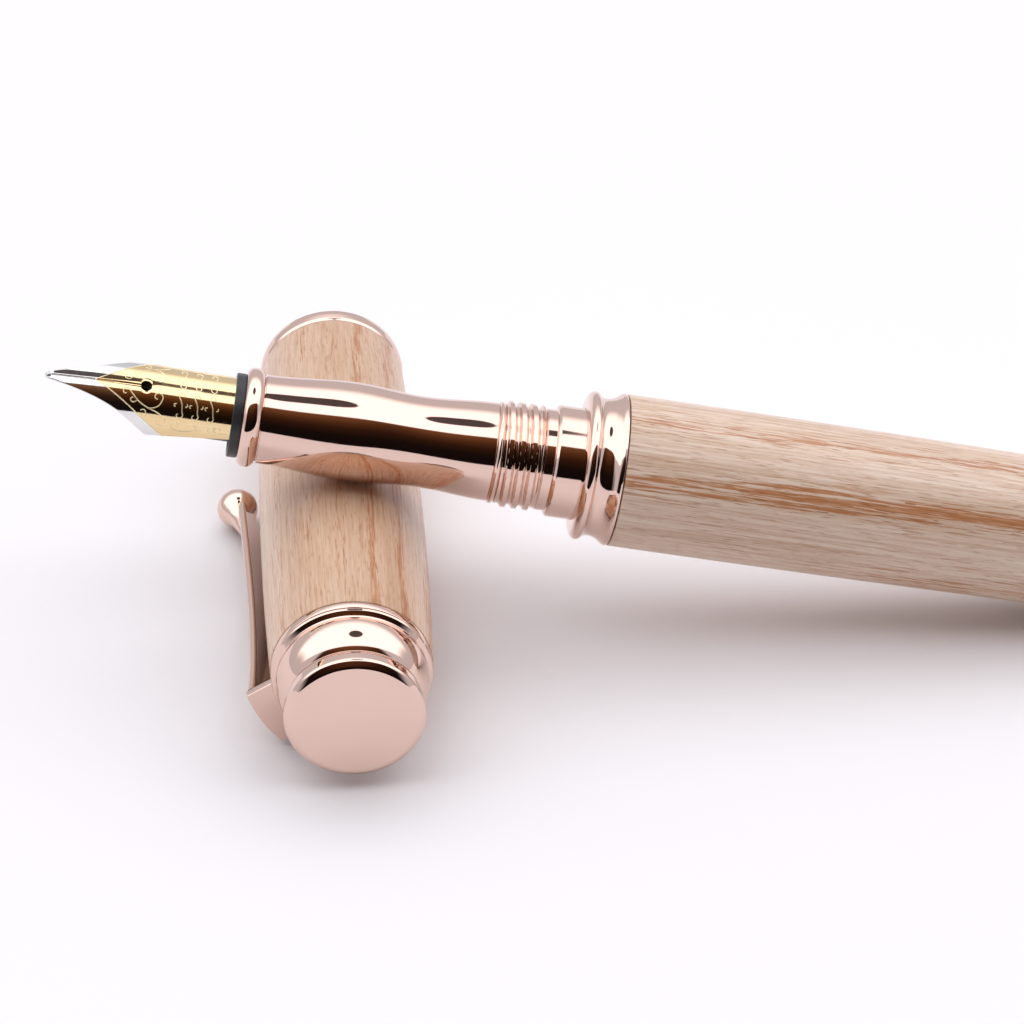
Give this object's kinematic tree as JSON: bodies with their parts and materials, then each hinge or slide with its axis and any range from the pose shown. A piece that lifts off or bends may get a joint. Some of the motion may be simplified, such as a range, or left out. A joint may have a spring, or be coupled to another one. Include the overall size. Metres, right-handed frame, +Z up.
{
  "type": "fountain pen",
  "caption": "Uncapped fountain pen with turned wood sleeves and rose gold fittings, lying across its cap, with nib, feed, converter and spring clip.",
  "frame": {"origin": "centre of the bounding box at the level of the table that the cap and the barrel's end lie on", "axes": "+X from the nib towards the barrel's end, +Y from the cap's finial towards its open mouth, +Z up"},
  "size_m": [0.1108, 0.0584, 0.0273],
  "materials": {
    "rose_gold": "polished plating",
    "ash_wood": "satin lacquer",
    "raw_brass": "drawn",
    "black_plastic": "gloss",
    "nib_gold": "polished, two-tone with bright rhodium edges",
    "tip_alloy": "polished",
    "clear_plastic": "clear",
    "seal_rubber": "matte",
    "white_plastic": "matte",
    "steel": "turned"
  },
  "bodies": {
    "cap": {"cap_wood": "ash_wood", "cap_tube": "raw_brass", "cap_lip_ring": "rose_gold", "cap_thread_insert": "raw_brass", "cap_inner_liner": "black_plastic", "cap_crown": "rose_gold", "cap_finial": "rose_gold", "clip_washer": "rose_gold"},
    "clip": {"clip_arm": "rose_gold", "clip_ball": "rose_gold"},
    "barrel": {"barrel_wood": "ash_wood", "barrel_tube": "raw_brass", "barrel_coupler": "rose_gold", "barrel_trim_ring": "rose_gold", "barrel_end_ring": "rose_gold", "barrel_end_plug": "rose_gold"},
    "tenon": {"section_tenon": "raw_brass"},
    "section": {"section_grip": "rose_gold", "section_front_ring": "rose_gold", "nib_housing": "black_plastic", "feed": "black_plastic", "nib": "nib_gold", "nib_tipping": "tip_alloy"},
    "converter": {"converter_tube": "clear_plastic", "converter_sleeve": "rose_gold", "converter_guide": "black_plastic"},
    "piston": {"converter_piston": "seal_rubber", "converter_rod": "white_plastic"},
    "knob": {"converter_knob": "black_plastic", "converter_spindle": "steel"}
  },
  "joints": [
    {"name": "pen_lift", "type": "slide", "parent": "cap", "child": "barrel", "axis": [0, 0, 1], "range_m": [0, 0.06]},
    {"name": "section_draw", "type": "slide", "parent": "barrel", "child": "tenon", "axis": [-0.9828, 0.0653, 0.1729], "range_m": [0, 0.06]},
    {"name": "section_unscrew", "type": "hinge", "parent": "tenon", "child": "section", "pos_m": [-0.01435, -0.00236, 0.01745], "axis": [-0.9828, 0.0653, 0.1729], "range_deg": [0, 2520]},
    {"name": "converter_pull", "type": "slide", "parent": "section", "child": "converter", "axis": [0.9828, -0.0653, -0.1729], "range_m": [0, 0.0055]},
    {"name": "knob_turn", "type": "hinge", "parent": "converter", "child": "knob", "pos_m": [0.02329, -0.00486, 0.01082], "axis": [0.9828, -0.0653, -0.1729], "range_deg": [0, 1810]},
    {"name": "piston_slide", "type": "slide", "parent": "converter", "child": "piston", "axis": [0.9828, -0.0653, -0.1729], "range_m": [0, 0.02]},
    {"name": "clip_flex", "type": "hinge", "parent": "cap", "child": "clip", "pos_m": [-0.03669, -0.0214, 0.0031], "axis": [-0.5, 0, 0.866], "range_deg": [0, 4], "stiffness_Nm_per_rad": 0.8}
  ],
  "couplings": [
    {"joint": "knob_turn", "follows": "piston_slide", "rad_per_m": 1570.8}
  ]
}
